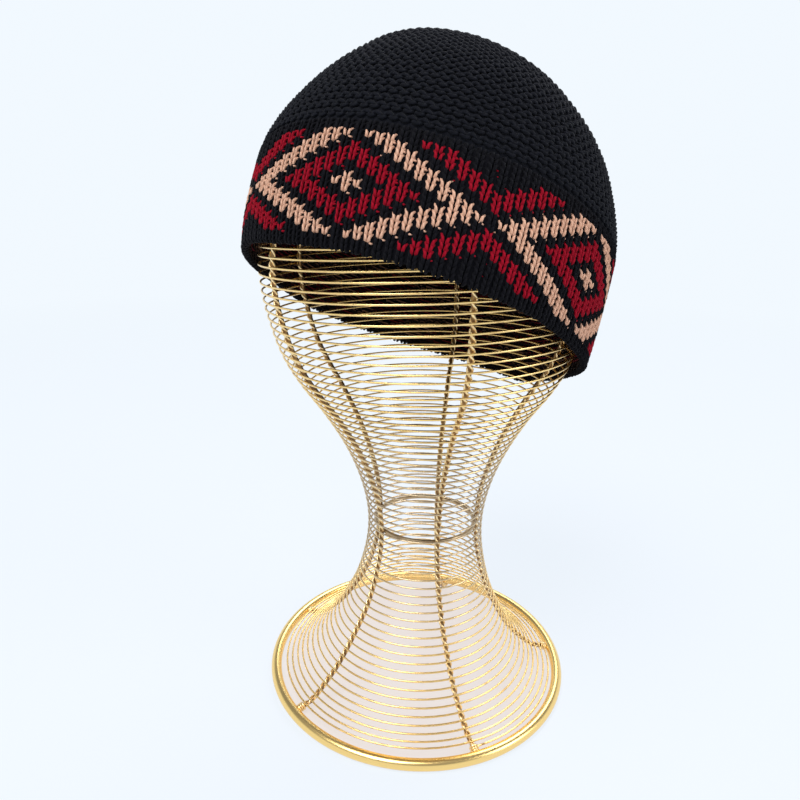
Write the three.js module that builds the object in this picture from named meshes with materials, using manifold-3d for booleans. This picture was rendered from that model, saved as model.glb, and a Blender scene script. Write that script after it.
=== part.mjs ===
// A knit hat, black with a band of nested lozenges, pulled over an open wire stand.
// Units are millimetres, +Z is up, and the view's front is -Y.
// Pieces: knit_crown, patterned_band, stand_frame and stand_winding.

import * as THREE from 'three';
import { mergeVertices } from 'three/addons/utils/BufferGeometryUtils.js';
import Module from 'manifold-3d';

const GAP = 0.3;
const WELD_DISTANCE = 1e-4;
const HALVINGS = 30;

// The hat, in its own frame: the rim lies in the plane z = 0 and the crown rises along +Z.
const BAND_HEIGHT = 49;
const BAND_WALL = 3.2;
const CROWN_WALL = 3.0;
const CROWN_INSET = 0.6;
const STITCH_RELIEF = 0.5;
const BAND_EDGE = 1.2;
const HAT_SEGMENTS = 48;
const CROWN_STEPS = 10;
const HAT_APEX = 127.7;

// Outer form of the hat: height above the rim, radius, and how far the section has slid sideways.
const HAT_SECTIONS = [
  { height: 0, radius: 84.0, slide: 0.0 },
  { height: 10, radius: 85.7, slide: -0.6 },
  { height: 20, radius: 86.8, slide: -1.2 },
  { height: 35, radius: 87.4, slide: -2.1 },
  { height: 49, radius: 87.2, slide: -2.8 },
  { height: 60, radius: 84.8, slide: -3.2 },
  { height: 70, radius: 81.1, slide: -3.4 },
  { height: 80, radius: 76.6, slide: -3.5 },
  { height: 90, radius: 70.7, slide: -4.0 },
  { height: 100, radius: 63.0, slide: -5.2 },
  { height: 109.2, radius: 54.5, slide: -6.9 },
  { height: 115.2, radius: 46.2, slide: -8.3 },
  { height: 120.7, radius: 36.2, slide: -9.6 },
  { height: 124.8, radius: 24.8, slide: -10.6 },
  { height: 127.1, radius: 12.4, slide: -11.1 },
  { height: HAT_APEX, radius: 0.0, slide: -11.3 },
];

// The rim isn't quite level: how far it hangs below its plane and is pulled in, by azimuth in degrees
// from the front towards +X.
const RIM_SAG = [
  { azimuth: -130, sag: 0.0, pull: 0.0 },
  { azimuth: -110, sag: -2.4, pull: 0.0 },
  { azimuth: -60, sag: -2.4, pull: 0.0 },
  { azimuth: -40, sag: 0.0, pull: 0.0 },
  { azimuth: 40, sag: 0.0, pull: 0.0 },
  { azimuth: 60, sag: 2.0, pull: -0.5 },
  { azimuth: 80, sag: 3.0, pull: -1.5 },
  { azimuth: 100, sag: 3.0, pull: -1.5 },
  { azimuth: 120, sag: 5.0, pull: -0.5 },
  { azimuth: 130, sag: 6.5, pull: 0.5 },
  { azimuth: 140, sag: 4.0, pull: 1.0 },
  { azimuth: 150, sag: 2.0, pull: 0.5 },
  { azimuth: 165, sag: 0.0, pull: 0.0 },
];
const PULL_REACH = 25;

// How the hat sits on the stand: leaned back and towards +X.
const LEAN_BACK = THREE.MathUtils.degToRad(22.4);
const LEAN_SIDE = THREE.MathUtils.degToRad(14.9);
const RIM_CENTRE = new THREE.Vector3(-7.7, -6.2, 198.2);

// The stand's form: the centre line of its winding wire, and how far the form leans towards +X.
const STAND_SECTIONS = [
  { height: 4.6, radius: 75.8, lean: 0.0 },
  { height: 7, radius: 68.5, lean: 0.0 },
  { height: 11, radius: 63.5, lean: 0.0 },
  { height: 20, radius: 54.5, lean: 0.3 },
  { height: 33, radius: 46.0, lean: 1.0 },
  { height: 50, radius: 37.5, lean: 2.0 },
  { height: 72, radius: 31.6, lean: 2.5 },
  { height: 88, radius: 30.2, lean: 2.6 },
  { height: 102, radius: 31.5, lean: 2.5 },
  { height: 119, radius: 36.0, lean: 2.2 },
  { height: 135, radius: 42.8, lean: 1.9 },
  { height: 152, radius: 52.5, lean: 1.3 },
  { height: 168, radius: 63.5, lean: 0.8 },
  { height: 180, radius: 70.0, lean: 0.3 },
  { height: 193, radius: 74.2, lean: -0.3 },
  { height: 209, radius: 77.0, lean: -1.4 },
  { height: 225, radius: 77.5, lean: -2.0 },
  { height: 242, radius: 75.0, lean: -2.0 },
];
const STAND_SHOULDER = STAND_SECTIONS[STAND_SECTIONS.length - 1];
const NORMAL_STEP = 0.5;
const DOME_RISE = 68.1;
const DOME_STEPS = 7;

// The five ribs, by azimuth from the front towards +X in degrees, at three heights of the stand.
const RIBS = [
  { foot: 24.5, neck: 14.5, shoulder: 16.5 },
  { foot: 99, neck: 99, shoulder: 99 },
  { foot: 167, neck: 167, shoulder: 167 },
  { foot: 244, neck: 244, shoulder: 244 },
  { foot: 311, neck: 309, shoulder: 303 },
];
const RIB_DIAMETER = 1.9;
const RIB_SIDES = 5;
const RIB_STEPS = 24;
const RIB_CLEARANCE = 0.85;
const RIB_FOOT_RADIUS = 79;
const RIB_FOOT_HEIGHT = 1.9;

const BASE_RADIUS = 82;
const BASE_WIRE = 5.6;
const BASE_SIDES = 8;
const BASE_SEGMENTS = 40;
const NECK_RING_HEIGHT = 88.7;
const NECK_RING_RADIUS = 26.2;
const NECK_RING_WIRE = 2.2;
const RING_SIDES = 6;
const RING_SEGMENTS = 24;
const TOP_RING_RADIUS = 9;
const TOP_RING_WIRE = 2.5;

const WINDING_WIRE = 1.1;
const WINDING_PITCH = 4.1;
const WINDING_STEPS_PER_SPAN = 3;
const WINDING_CROWDING = 0.4;
const WINDING_CROWDED_TURNS = 3;
const WINDING_LOW = 4.8;
const WINDING_HIGH = 240;
const WINDING_SAMPLES = 600;
const WINDING_SLOPE = 0.05;

const BLACK_WOOL = new THREE.MeshStandardMaterial({ color: 0x15151a, roughness: 0.95, metalness: 0 });
const BAND_WOOL = new THREE.MeshStandardMaterial({ color: 0x8e1529, roughness: 0.95, metalness: 0 });
const POLISHED_GOLD = new THREE.MeshStandardMaterial({ color: 0xd9ab4a, roughness: 0.22, metalness: 1 });
const WIRE_GOLD = new THREE.MeshStandardMaterial({ color: 0xe0b95c, roughness: 0.28, metalness: 1 });

const wasm = await Module();
wasm.setup();

function weld(geometry) {
  const bare = geometry.clone();
  bare.deleteAttribute('normal');
  bare.deleteAttribute('uv');
  return mergeVertices(bare, WELD_DISTANCE);
}

function toSolid(geometry) {
  const bare = weld(geometry);
  const vertProperties = new Float32Array(bare.attributes.position.array);
  const triVerts = new Uint32Array(bare.index.array);
  return new wasm.Manifold(new wasm.Mesh({ numProp: 3, vertProperties, triVerts }));
}

function toGeometry(solid) {
  const mesh = solid.getMesh();
  const geometry = new THREE.BufferGeometry();
  geometry.setAttribute('position', new THREE.BufferAttribute(mesh.vertProperties, 3));
  geometry.setIndex(new THREE.BufferAttribute(mesh.triVerts, 1));
  return geometry;
}

// A curve through the rows of a table: x is the radius, y the height and z the sideways column.
function curveThrough(rows, sideways) {
  const points = rows.map((row) => new THREE.Vector3(row.radius, row.height, row[sideways]));
  return new THREE.CatmullRomCurve3(points, false, 'centripetal');
}

// The point of a rising curve that has the given height.
function atHeight(curve, height) {
  let low = 0;
  let high = 1;
  for (let i = 0; i < HALVINGS; i += 1) {
    const middle = (low + high) / 2;
    if (curve.getPoint(middle).y < height) {
      low = middle;
    } else {
      high = middle;
    }
  }
  return curve.getPoint(low);
}

const hatCurve = curveThrough(HAT_SECTIONS, 'slide');
const standCurve = curveThrough(STAND_SECTIONS, 'lean');

// How far the rim hangs and is pulled in at an azimuth, read from the table with straight steps.
function rimAt(azimuth) {
  const degrees = THREE.MathUtils.radToDeg(azimuth);
  let from = RIM_SAG[0];
  let to = RIM_SAG[0];
  for (const row of RIM_SAG) {
    from = to;
    to = row;
    if (row.azimuth >= degrees) {
      break;
    }
  }
  const span = Math.max(to.azimuth - from.azimuth, 1);
  const part = THREE.MathUtils.clamp((degrees - from.azimuth) / span, 0, 1);
  return {
    sag: THREE.MathUtils.lerp(from.sag, to.sag, part),
    pull: THREE.MathUtils.lerp(from.pull, to.pull, part),
  };
}

// The hat's wall: turned about the hat's axis, let down and pulled in near the rim, then each section
// slid sideways.
function turnedShell(profile) {
  const geometry = new THREE.LatheGeometry(profile, HAT_SEGMENTS);
  geometry.rotateX(Math.PI / 2);
  const position = geometry.attributes.position;
  for (let i = 0; i < position.count; i += 1) {
    const x = position.getX(i);
    const y = position.getY(i);
    const height = THREE.MathUtils.clamp(position.getZ(i), 0, HAT_APEX);
    const slide = atHeight(hatCurve, height).z;
    const rim = rimAt(Math.atan2(x, -y));
    const drop = rim.sag * Math.max(1 - height / BAND_HEIGHT, 0) ** 2;
    const squeeze = rim.pull * Math.max(1 - height / PULL_REACH, 0) ** 2;
    const kept = 1 - squeeze / Math.max(Math.hypot(x, y), 1);
    position.setXYZ(i, x * kept + slide, y * kept, position.getZ(i) - drop);
  }
  return weld(geometry);
}

function bandProfile() {
  const heights = [BAND_EDGE, BAND_HEIGHT / 3, (BAND_HEIGHT * 2) / 3, BAND_HEIGHT - BAND_EDGE];
  const outer = heights.map((h) => new THREE.Vector2(atHeight(hatCurve, h).x - STITCH_RELIEF, h));
  const inner = heights.map((h) => new THREE.Vector2(atHeight(hatCurve, h).x - BAND_WALL, h)).reverse();
  const top = atHeight(hatCurve, BAND_HEIGHT).x - BAND_WALL / 2;
  const bottom = atHeight(hatCurve, 0).x - BAND_WALL / 2;
  const ring = [...outer, new THREE.Vector2(top, BAND_HEIGHT), ...inner, new THREE.Vector2(bottom, 0)];
  return [...ring, ring[0].clone()];
}

// Moves a point of the hat's outline inwards, square to the outline, by the wall's thickness.
function insetPoint(curve, t, depth) {
  const point = curve.getPoint(t);
  const along = curve.getTangent(t);
  const length = Math.hypot(along.x, along.y);
  return new THREE.Vector2(point.x - (along.y / length) * depth, point.y + (along.x / length) * depth);
}

function crownProfile() {
  const seam = BAND_HEIGHT + GAP;
  const rows = [{ radius: atHeight(hatCurve, seam).x, height: seam, slide: 0 }];
  for (const row of HAT_SECTIONS) {
    if (row.height > seam) {
      rows.push(row);
    }
  }
  const curve = curveThrough(rows, 'slide');
  const outer = [];
  const inner = [];
  for (let i = 0; i <= CROWN_STEPS; i += 1) {
    const t = i / CROWN_STEPS;
    outer.push(insetPoint(curve, t, CROWN_INSET));
    inner.push(insetPoint(curve, t, CROWN_INSET + CROWN_WALL));
  }
  outer[0].y = seam;
  inner[0].y = seam;
  outer[CROWN_STEPS].x = 0;
  inner[CROWN_STEPS].x = 0;
  return [...inner.reverse(), ...outer];
}

// The outward direction of the stand's form in its own section, as radius and height.
function standNormal(height) {
  const below = atHeight(standCurve, Math.max(height - NORMAL_STEP, STAND_SECTIONS[0].height));
  const above = atHeight(standCurve, Math.min(height + NORMAL_STEP, STAND_SHOULDER.height));
  const length = Math.hypot(above.x - below.x, above.y - below.y);
  return { out: (above.y - below.y) / length, up: (below.x - above.x) / length };
}

// A point at an azimuth of the form, moved inwards square to the form by the inset.
function standPoint(height, azimuth, inset) {
  const section = atHeight(standCurve, height);
  const normal = standNormal(height);
  const radius = section.x - inset * normal.out;
  const level = height - inset * normal.up;
  return new THREE.Vector3(section.z + radius * Math.sin(azimuth), -radius * Math.cos(azimuth), level);
}

// The azimuth of a rib at a height, in radians: it drifts from its foot to the neck and the shoulder.
function ribAzimuth(row, height) {
  const low = THREE.MathUtils.smoothstep(height, 0, NECK_RING_HEIGHT);
  const high = THREE.MathUtils.smoothstep(height, NECK_RING_HEIGHT, STAND_SHOULDER.height);
  return THREE.MathUtils.degToRad(row.foot + low * (row.neck - row.foot) + high * (row.shoulder - row.neck));
}

// Centre line of a rib: out of the base ring, up under the winding, and over the dome to the top ring.
function ribPath(row) {
  const inset = WINDING_WIRE / 2 + RIB_CLEARANCE + RIB_DIAMETER / 2;
  const start = ribAzimuth(row, 0);
  const foot = new THREE.Vector3(
    RIB_FOOT_RADIUS * Math.sin(start),
    -RIB_FOOT_RADIUS * Math.cos(start),
    RIB_FOOT_HEIGHT,
  );
  const points = [foot];
  const form = standCurve.getSpacedPoints(RIB_STEPS);
  for (const section of form) {
    points.push(standPoint(section.y, ribAzimuth(row, section.y), inset));
  }
  const azimuth = ribAzimuth(row, STAND_SHOULDER.height);
  const width = STAND_SHOULDER.radius - inset;
  const reach = Math.acos(TOP_RING_RADIUS / width);
  for (let i = 1; i <= DOME_STEPS; i += 1) {
    const angle = (i / DOME_STEPS) * reach;
    const radius = width * Math.cos(angle);
    const height = STAND_SHOULDER.height + DOME_RISE * Math.sin(angle);
    const x = STAND_SHOULDER.lean + radius * Math.sin(azimuth);
    points.push(new THREE.Vector3(x, -radius * Math.cos(azimuth), height));
  }
  return new THREE.CatmullRomCurve3(points, false, 'centripetal');
}

function polygon(diameter, sides) {
  const shape = new THREE.Shape();
  const radius = diameter / 2;
  for (let i = 0; i < sides; i += 1) {
    const angle = (i / sides) * Math.PI * 2;
    const x = radius * Math.cos(angle);
    const y = radius * Math.sin(angle);
    if (i === 0) {
      shape.moveTo(x, y);
    } else {
      shape.lineTo(x, y);
    }
  }
  shape.closePath();
  return shape;
}

function rib(row) {
  const path = ribPath(row);
  const steps = RIB_STEPS + DOME_STEPS;
  const shape = polygon(RIB_DIAMETER, RIB_SIDES);
  return new THREE.ExtrudeGeometry(shape, { steps, bevelEnabled: false, extrudePath: path });
}

// A ring of round wire lying level, its section a polygon with a flat underside.
function wireRing(radius, height, wire, sides, segments, x = 0) {
  const profile = [];
  const reach = wire / 2 / Math.cos(Math.PI / sides);
  for (let i = 0; i <= sides; i += 1) {
    const angle = ((i + 0.5) / sides) * Math.PI * 2 - Math.PI / 2;
    profile.push(new THREE.Vector2(radius + reach * Math.cos(angle), height + reach * Math.sin(angle)));
  }
  const geometry = new THREE.LatheGeometry(profile, segments);
  geometry.rotateX(Math.PI / 2);
  geometry.translate(x, 0, 0);
  return geometry;
}

// The soldered frame: base ring, five ribs, the neck ring inside them and the ring that closes the dome.
function standFrame() {
  const baseCentre = BASE_RADIUS - BASE_WIRE / 2;
  let frame = toSolid(wireRing(baseCentre, BASE_WIRE / 2, BASE_WIRE, BASE_SIDES, BASE_SEGMENTS));
  for (const row of RIBS) {
    frame = frame.add(toSolid(rib(row)));
  }
  const neckLean = atHeight(standCurve, NECK_RING_HEIGHT).z;
  const neckRing = wireRing(
    NECK_RING_RADIUS,
    NECK_RING_HEIGHT,
    NECK_RING_WIRE,
    RING_SIDES,
    RING_SEGMENTS,
    neckLean,
  );
  const topRing = wireRing(
    TOP_RING_RADIUS,
    STAND_SHOULDER.height + DOME_RISE,
    TOP_RING_WIRE,
    RING_SIDES,
    RING_SEGMENTS,
    STAND_SHOULDER.lean,
  );
  return toGeometry(frame.add(toSolid(neckRing)).add(toSolid(topRing)));
}

// How far up the form the wire has come after some turns, in pitches: the first turns lie closer.
function wound(turn) {
  const lost = WINDING_CROWDING * WINDING_CROWDED_TURNS;
  return turn - lost * (1 - Math.exp(-turn / WINDING_CROWDED_TURNS));
}

// Centre line of the winding wire: one long turn after turn that lies just outside the ribs.
function windingPoints() {
  const profile = [];
  for (let i = 0; i <= WINDING_SAMPLES; i += 1) {
    const height = WINDING_LOW + (i / WINDING_SAMPLES) * (WINDING_HIGH - WINDING_LOW);
    const section = atHeight(standCurve, height);
    const last = profile[profile.length - 1];
    const step = last ? Math.hypot(section.x - last.radius, height - last.height) : 0;
    profile.push({ height, radius: section.x, travel: last ? last.travel + step : 0 });
  }
  const travel = profile[WINDING_SAMPLES].travel;
  const turns = Math.round(travel / WINDING_PITCH + WINDING_CROWDING * WINDING_CROWDED_TURNS);
  const first = RIBS[0];
  const again = { foot: first.foot + 360, neck: first.neck + 360, shoulder: first.shoulder + 360 };
  const stops = [...RIBS, again];
  const perTurn = RIBS.length * WINDING_STEPS_PER_SPAN;
  const points = [];
  let cursor = 0;
  for (let k = 0; k <= turns * perTurn; k += 1) {
    const span = Math.floor((k % perTurn) / WINDING_STEPS_PER_SPAN);
    const within = (k % WINDING_STEPS_PER_SPAN) / WINDING_STEPS_PER_SPAN;
    const from = stops[span];
    const to = stops[span + 1];
    const round = (THREE.MathUtils.lerp(from.neck, to.neck, within) - first.neck) / 360;
    const along = (wound(Math.floor(k / perTurn) + round) / wound(turns)) * travel;
    while (cursor < WINDING_SAMPLES - 1 && profile[cursor + 1].travel < along) {
      cursor += 1;
    }
    const low = profile[cursor];
    const high = profile[cursor + 1];
    const part = (along - low.travel) / (high.travel - low.travel);
    const level = low.height + part * (high.height - low.height);
    const azimuth = THREE.MathUtils.lerp(ribAzimuth(from, level), ribAzimuth(to, level), within);
    const rise = THREE.MathUtils.smoothstep(level, NECK_RING_HEIGHT, WINDING_HIGH);
    const height = level + WINDING_SLOPE * rise * low.radius * Math.sin(azimuth);
    const kept = THREE.MathUtils.clamp(height, WINDING_LOW, STAND_SHOULDER.height);
    points.push(standPoint(kept, azimuth, 0));
  }
  return points;
}

// The winding as one wire with a three-sided section, whose flat side faces the ribs.
function windingGeometry() {
  const points = windingPoints();
  const reach = WINDING_WIRE / 2;
  const corners = [
    { out: -reach, up: -reach },
    { out: -reach, up: reach },
    { out: reach, up: 0 },
  ];
  const sides = corners.length;
  const vertices = [];
  for (let i = 0; i < points.length; i += 1) {
    const point = points[i];
    const normal = standNormal(point.z);
    const section = atHeight(standCurve, point.z);
    const radial = new THREE.Vector2(point.x - section.z, point.y).normalize();
    for (const corner of corners) {
      const out = corner.out * normal.out - corner.up * normal.up;
      const up = corner.out * normal.up + corner.up * normal.out;
      vertices.push(point.x + radial.x * out, point.y + radial.y * out, point.z + up);
    }
  }
  const indices = [];
  for (let i = 0; i + 1 < points.length; i += 1) {
    for (let j = 0; j < sides; j += 1) {
      const a = i * sides + j;
      const b = i * sides + ((j + 1) % sides);
      indices.push(a, b, b + sides, a, b + sides, a + sides);
    }
  }
  const end = (points.length - 1) * sides;
  indices.push(0, 2, 1, end, end + 1, end + 2);
  const geometry = new THREE.BufferGeometry();
  geometry.setAttribute('position', new THREE.Float32BufferAttribute(vertices, 3));
  geometry.setIndex(indices);
  return geometry;
}

function piece(name, geometry, material) {
  const mesh = new THREE.Mesh(geometry, material);
  mesh.name = name;
  return mesh;
}

const hat = new THREE.Group();
hat.add(piece('knit_crown', turnedShell(crownProfile()), BLACK_WOOL));
hat.add(piece('patterned_band', turnedShell(bandProfile()), BAND_WOOL));
hat.position.copy(RIM_CENTRE);
hat.rotation.set(-LEAN_BACK, LEAN_SIDE, 0);

const assembly = new THREE.Group();
assembly.add(hat);
assembly.add(piece('stand_frame', standFrame(), POLISHED_GOLD));
assembly.add(piece('stand_winding', windingGeometry(), WIRE_GOLD));

// The origin is on the floor, under the middle of the whole.
assembly.updateMatrixWorld(true);
const bounds = new THREE.Box3().setFromObject(assembly, true);
const middle = bounds.getCenter(new THREE.Vector3());
assembly.position.set(-middle.x, -middle.y, -bounds.min.z);
assembly.updateMatrixWorld(true);

export default assembly;
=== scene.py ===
# A black knit hat with a band of nested lozenges, pulled over an open stand of wound gold wire.
# Tables and sizes are in millimetres; the meshes are in metres. +Z is up and the hat's front is at -Y.

import math

import bpy
import numpy as np
from mathutils import Matrix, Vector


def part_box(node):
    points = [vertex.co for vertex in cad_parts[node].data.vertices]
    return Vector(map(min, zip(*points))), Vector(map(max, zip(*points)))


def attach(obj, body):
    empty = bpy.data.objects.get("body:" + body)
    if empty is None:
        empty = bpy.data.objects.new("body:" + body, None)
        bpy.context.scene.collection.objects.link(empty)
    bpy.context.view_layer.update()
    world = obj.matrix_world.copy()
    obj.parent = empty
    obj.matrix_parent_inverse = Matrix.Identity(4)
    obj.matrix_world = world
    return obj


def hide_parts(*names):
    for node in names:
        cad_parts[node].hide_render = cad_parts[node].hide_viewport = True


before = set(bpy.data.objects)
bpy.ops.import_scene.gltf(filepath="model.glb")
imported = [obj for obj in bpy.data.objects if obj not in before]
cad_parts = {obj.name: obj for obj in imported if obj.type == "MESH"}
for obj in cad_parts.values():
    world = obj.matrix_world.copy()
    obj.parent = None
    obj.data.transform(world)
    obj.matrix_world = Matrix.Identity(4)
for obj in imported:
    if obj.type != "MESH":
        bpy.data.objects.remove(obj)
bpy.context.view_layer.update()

MM = 0.001
TURN = 2 * math.pi
CHANCE = np.random.default_rng(11)

# The stand's ring foot is centred under its form, and all of the stand is measured from that axis.
low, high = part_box("stand_frame")
STAND_AXIS = np.array([(low.x + high.x) / 2, (low.y + high.y) / 2, 0.0]) / MM

# The camera, from the stand's axis: its place, its tilt, turn and roll in degrees, and its lens.
CAMERA_PLACE = np.array([7.87, -317.4, 251.9])
CAMERA_DOWN = 17.03
CAMERA_TURN = -3.61
CAMERA_ROLL = -1.15
CAMERA_LENS = 29.25

# Outer form of the hat: height above the rim, radius, and how far the section has slid sideways.
HAT_SECTIONS = [
    (0.0, 84.0, 0.0),
    (10.0, 85.7, -0.6),
    (20.0, 86.8, -1.2),
    (35.0, 87.4, -2.1),
    (49.0, 87.2, -2.8),
    (60.0, 84.8, -3.2),
    (70.0, 81.1, -3.4),
    (80.0, 76.6, -3.5),
    (90.0, 70.7, -4.0),
    (100.0, 63.0, -5.2),
    (109.2, 54.5, -6.9),
    (115.2, 46.2, -8.3),
    (120.7, 36.2, -9.6),
    (124.8, 24.8, -10.6),
    (127.1, 12.4, -11.1),
    (127.7, 0.0, -11.3),
]
BAND_HEIGHT = 49.0
BAND_WALL = 3.2
HAT_LEAN_BACK = math.radians(22.4)
HAT_LEAN_SIDE = math.radians(14.9)
HAT_RIM_CENTRE = np.array([-7.7, -6.2, 198.2])

# The rim isn't quite level: azimuth in degrees, how far it hangs below its plane, and is pulled in.
RIM_SAG = np.array([
    (-130.0, 0.0, 0.0),
    (-110.0, -2.4, 0.0),
    (-60.0, -2.4, 0.0),
    (-40.0, 0.0, 0.0),
    (40.0, 0.0, 0.0),
    (60.0, 2.0, -0.5),
    (80.0, 3.0, -1.5),
    (100.0, 3.0, -1.5),
    (120.0, 5.0, -0.5),
    (130.0, 6.5, 0.5),
    (140.0, 4.0, 1.0),
    (150.0, 2.0, 0.5),
    (165.0, 0.0, 0.0),
])
PULL_REACH = 25.0

# The stand's form: height, radius of the winding's centre line, and its lean towards +X.
STAND_SECTIONS = [
    (4.6, 75.8, 0.0),
    (7.0, 68.5, 0.0),
    (11.0, 63.5, 0.0),
    (20.0, 54.5, 0.3),
    (33.0, 46.0, 1.0),
    (50.0, 37.5, 2.0),
    (72.0, 31.6, 2.5),
    (88.0, 30.2, 2.6),
    (102.0, 31.5, 2.5),
    (119.0, 36.0, 2.2),
    (135.0, 42.8, 1.9),
    (152.0, 52.5, 1.3),
    (168.0, 63.5, 0.8),
    (180.0, 70.0, 0.3),
    (193.0, 74.2, -0.3),
    (209.0, 77.0, -1.4),
    (225.0, 77.5, -2.0),
    (242.0, 75.0, -2.0),
]
DOME_RISE = 68.1

# The five ribs, by azimuth in degrees at the foot, the neck and the shoulder.
RIBS = [(24.5, 14.5, 16.5), (99, 99, 99), (167, 167, 167), (244, 244, 244), (311, 309, 303)]
RIB_DIAMETER = 1.9
RIB_CLEARANCE = 0.85
RIB_FOOT_RADIUS = 79.0
RIB_FOOT_HEIGHT = 1.9
BASE_RADIUS = 82.0
BASE_WIRE = 5.6
NECK_RING_HEIGHT = 88.7
NECK_RING_RADIUS = 26.2
NECK_RING_WIRE = 2.2
TOP_RING_RADIUS = 9.0
WINDING_WIRE = 1.1
WINDING_PITCH = 4.1
WINDING_CROWDING = 0.4
WINDING_CROWDED_TURNS = 3.0
WINDING_LOW = 4.8
WINDING_HIGH = 240.0
WINDING_SLOPE = 0.05

# The wires as they look: the winding, a rib's rod, the lashing round it and the knots at its foot.
ROUND_WIRE = 0.98
ROD_CORE = 2.1
LASHING_WIRE = 1.1
LASHING_REACH = 0.85
LASHING_SPREAD = 1.25
LASHING_OUT = 0.35
LASHING_PITCH = 8.2
LASHING_STEPS = 12
KNOT_RADIUS = 1.75
KNOT_TURNS = (3.2, 4.3, 5.4)
KNOT_STEPS = 16

# The band's knitting: columns round it, the height of a row, and the middle row of the lozenges.
BAND_COLUMNS = 120
ROW_HEIGHT = 2.33
MIDDLE_ROW = 24.7
ROWS_EITHER_SIDE = 10
HEM_ROWS = 3
REPEAT_COLUMNS = 24
PATTERN_ROWS = 8
FIRST_LOZENGE = -18.2

# How far columns are pulled from even spacing: column, and degrees towards +X.
STRETCH = np.array([
    (-38.0, 0.0),
    (-24.0, -8.0),
    (-16.0, -8.0),
    (-12.0, -4.4),
    (-10.0, -3.0),
    (-5.0, -0.7),
    (0.0, 0.0),
    (6.0, -0.6),
    (12.0, 1.0),
    (20.0, 0.0),
])

# The chart: a stitch's colour by its steps across plus its steps up from a lozenge's centre.
CHART = [(0, 1, "beige"), (4, 6, "red"), (9, 11, "beige"), (14, 16, "red")]

# The crown's ridges, how far its wall goes down into the band's, and the width of a stitch.
RIDGE_PITCH = 4.1
SEAM_DEPTH = 1.6
STITCH_WIDTH = 4.5


LINE_STEPS = 16


def smooth_line(points):
    """A smooth line through a table's points, in cubic pieces that share their slopes."""
    points = np.array(points, float)
    knots = np.concatenate([[0], np.cumsum(np.sqrt(np.linalg.norm(np.diff(points, axis=0), axis=1)))])
    slopes = np.gradient(points, knots, axis=0)
    t = np.linspace(0, 1, LINE_STEPS, endpoint=False)[None, :, None]
    width = np.diff(knots)[:, None, None]
    start, end = points[:-1, None], points[1:, None]
    leave, arrive = slopes[:-1, None] * width, slopes[1:, None] * width
    line = (2 * t**3 - 3 * t**2 + 1) * start + (t**3 - 2 * t**2 + t) * leave
    line = line + (3 * t**2 - 2 * t**3) * end + (t**3 - t**2) * arrive
    return np.concatenate([line.reshape(-1, points.shape[1]), points[-1:]])


class Form:
    """A round form's outline, walked by the distance along it, with the outward direction at each place."""

    def __init__(self, outline):
        self.height, self.radius, self.offset = outline.T
        step = np.hypot(np.diff(self.height), np.diff(self.radius))
        self.travel = np.concatenate([[0], np.cumsum(step)])
        self.length = self.travel[-1]
        rise = np.gradient(self.height, self.travel)
        spread = np.gradient(self.radius, self.travel)
        size = np.hypot(rise, spread)
        self.out, self.up = rise / size, -spread / size

    def at(self, travel, *columns):
        return [np.interp(travel, self.travel, getattr(self, column)) for column in columns]

    def travel_at(self, height):
        return np.interp(height, self.height, self.travel)

    def place(self, azimuth, travel, lift=0.0):
        """Points and outward directions, by azimuth from the front towards +X, in the form's own frame."""
        height, radius, offset, out, up = self.at(travel, "height", "radius", "offset", "out", "up")
        azimuth = np.asarray(azimuth, float) + 0 * height
        across = radius + lift * out
        sine, cosine = np.sin(azimuth), np.cos(azimuth)
        points = np.stack([offset + across * sine, -across * cosine, height + lift * up], -1)
        normals = np.stack([out * sine, -out * cosine, up], -1)
        return points, normals


def hat_matrix():
    """Turns the hat's own frame into the row's: leaned back, then towards +X."""
    cb, sb = math.cos(-HAT_LEAN_BACK), math.sin(-HAT_LEAN_BACK)
    cs, ss = math.cos(HAT_LEAN_SIDE), math.sin(HAT_LEAN_SIDE)
    back = np.array([[1, 0, 0], [0, cb, -sb], [0, sb, cb]])
    side = np.array([[cs, 0, ss], [0, 1, 0], [-ss, 0, cs]])
    return back @ side


HAT_TURN = hat_matrix()


def settle(points):
    """Lets points of the band down and in near the rim, as far as the rim does at their azimuth."""
    x, y, height = np.moveaxis(points, -1, 0)
    sections = np.array(HAT_SECTIONS)
    slide = np.interp(height, sections[:, 0], sections[:, 2])
    azimuth = np.degrees(np.arctan2(x - slide, -y))
    sag, pull = (np.interp(azimuth, RIM_SAG[:, 0], RIM_SAG[:, column]) for column in (1, 2))
    drop = sag * np.clip(1 - height / BAND_HEIGHT, 0, 1) ** 2
    squeeze = pull * np.clip(1 - height / PULL_REACH, 0, 1) ** 2
    kept = 1 - squeeze / np.maximum(np.hypot(x - slide, y), 1)
    return np.stack([slide + (x - slide) * kept, y * kept, height - drop], -1)


def on_hat(points, normals):
    """Points and directions of the hat's own frame, set down on the stand."""
    return settle(points) @ HAT_TURN.T + HAT_RIM_CENTRE + STAND_AXIS, normals @ HAT_TURN.T


# Mesh building: every knitted or wound strand is a tube along its own path.


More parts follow.
